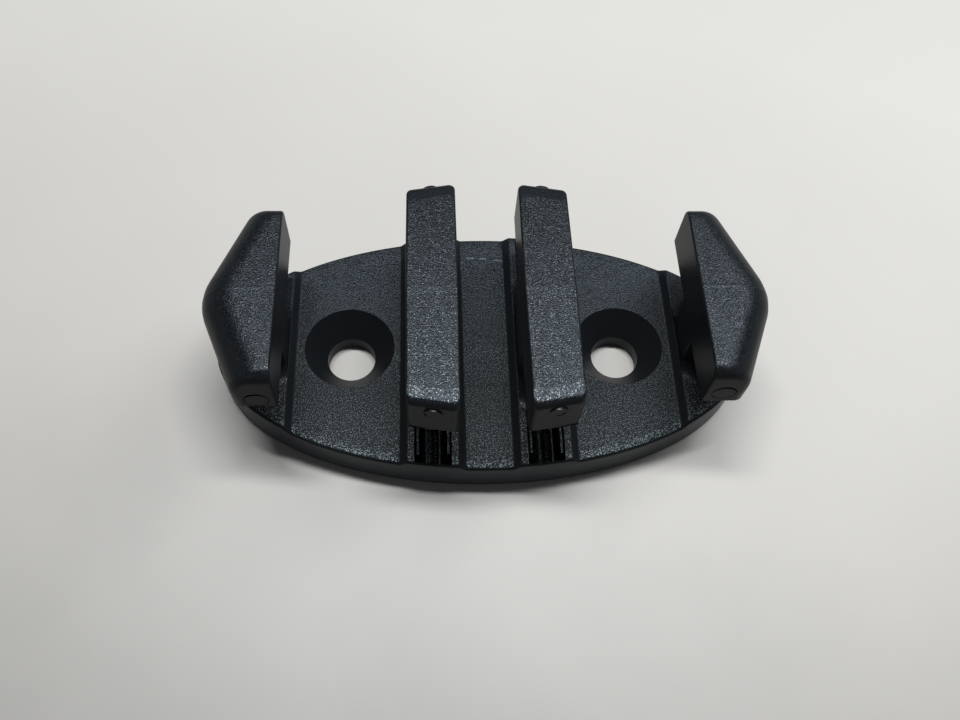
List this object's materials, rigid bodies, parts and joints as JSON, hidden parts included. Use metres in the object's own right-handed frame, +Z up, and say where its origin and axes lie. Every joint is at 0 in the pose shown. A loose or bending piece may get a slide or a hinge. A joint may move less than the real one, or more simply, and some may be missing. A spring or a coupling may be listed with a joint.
{
  "type": "zig-zag line cleat",
  "caption": "Oval nylon jam cleat whose bars and end horns overhang the base, so a line wound between them is gripped; screwed down through countersunk holes.",
  "frame": {"origin": "centre of the base's underside", "axes": "+X along the oval base, horn to horn; +Y to the rear, along the slots and bars; +Z up, away from the mounting surface"},
  "size_m": [0.064, 0.0318, 0.0185],
  "materials": {
    "nylon": "fine moulded grain on the tops and panels, smoother on the end faces and upright sides"
  },
  "bodies": {
    "root": {"base_plate": "nylon", "inner_post_left": "nylon", "inner_bar_left": "nylon", "end_post_left": "nylon", "end_horn_left": "nylon", "inner_post_right": "nylon", "inner_bar_right": "nylon", "end_post_right": "nylon", "end_horn_right": "nylon"}
  },
  "joints": []
}
